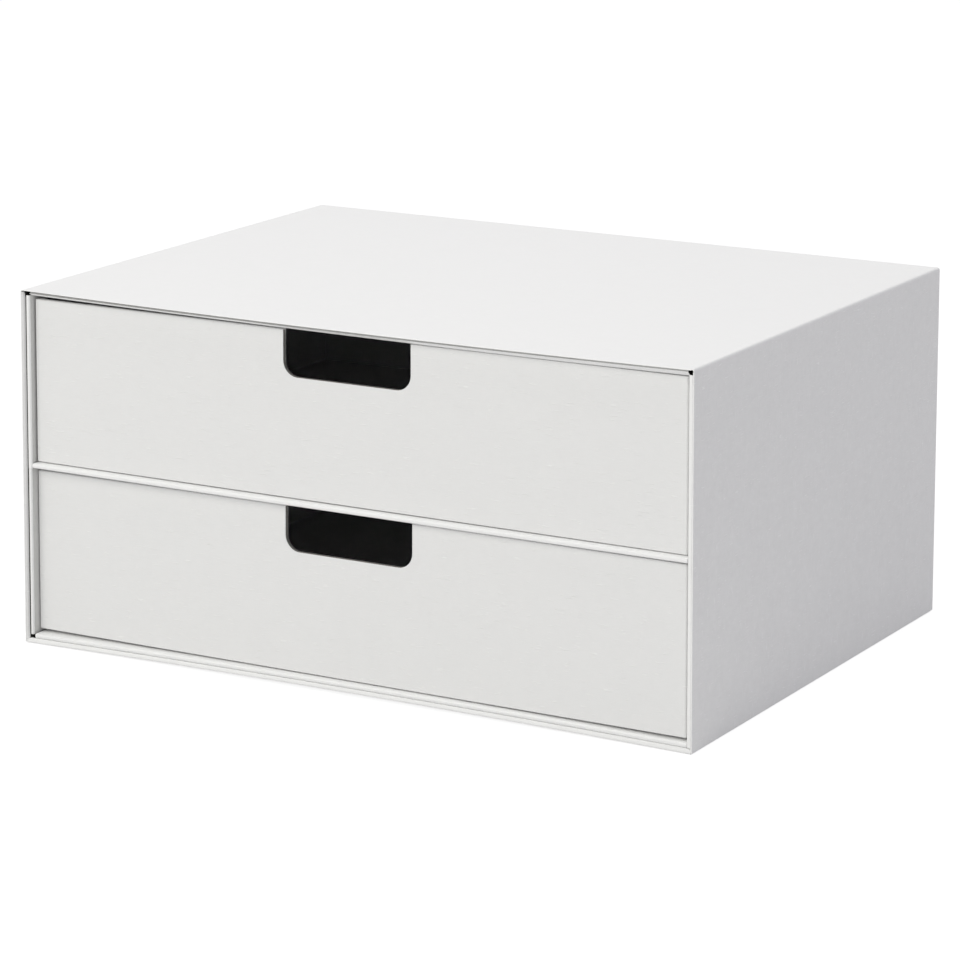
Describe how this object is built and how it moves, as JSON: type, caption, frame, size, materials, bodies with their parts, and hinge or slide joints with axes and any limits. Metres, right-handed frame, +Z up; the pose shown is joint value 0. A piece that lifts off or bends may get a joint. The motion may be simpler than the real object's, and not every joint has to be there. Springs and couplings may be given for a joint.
{
  "type": "mini chest of drawers",
  "caption": "Low tabletop chest of paper-covered board with full-width sliding drawers, each pulled by a rounded finger notch at its top edge.",
  "frame": {"origin": "middle of the underside, on the surface that the chest stands on", "axes": "+X to the right seen from the front, along the width; +Y to the back; +Z up; the drawers open towards -Y"},
  "size_m": [0.33, 0.25, 0.16],
  "materials": {
    "linen_paper": "matt white linen-embossed",
    "covered_board": "matt white linen paper on board",
    "greyboard": "matt grey, inside the paper",
    "lined_board": "greyboard lined with plain white paper, grey where it is cut"
  },
  "bodies": {
    "casing": {"cover_sheet": "linen_paper", "outer_left_board": "greyboard", "outer_top_board": "greyboard", "outer_right_board": "greyboard", "outer_bottom_board": "covered_board", "back_board": "covered_board", "lower_left_liner_board": "covered_board", "upper_left_liner_board": "covered_board", "floor_board": "covered_board", "divider_board": "covered_board"},
    "upper_drawer": {"upper_drawer_front_board": "lined_board", "upper_drawer_back_board": "lined_board", "upper_drawer_left_board": "lined_board", "upper_drawer_right_board": "lined_board", "upper_drawer_base_board": "lined_board", "upper_drawer_wrap_sheet": "linen_paper"},
    "lower_drawer": {"lower_drawer_front_board": "lined_board", "lower_drawer_back_board": "lined_board", "lower_drawer_left_board": "lined_board", "lower_drawer_right_board": "lined_board", "lower_drawer_base_board": "lined_board", "lower_drawer_wrap_sheet": "linen_paper"}
  },
  "joints": [
    {"name": "upper_drawer_slide", "type": "slide", "parent": "casing", "child": "upper_drawer", "axis": [0, -1, 0], "range_m": [0, 0.25]},
    {"name": "lower_drawer_slide", "type": "slide", "parent": "casing", "child": "lower_drawer", "axis": [0, -1, 0], "range_m": [0, 0.25]}
  ]
}
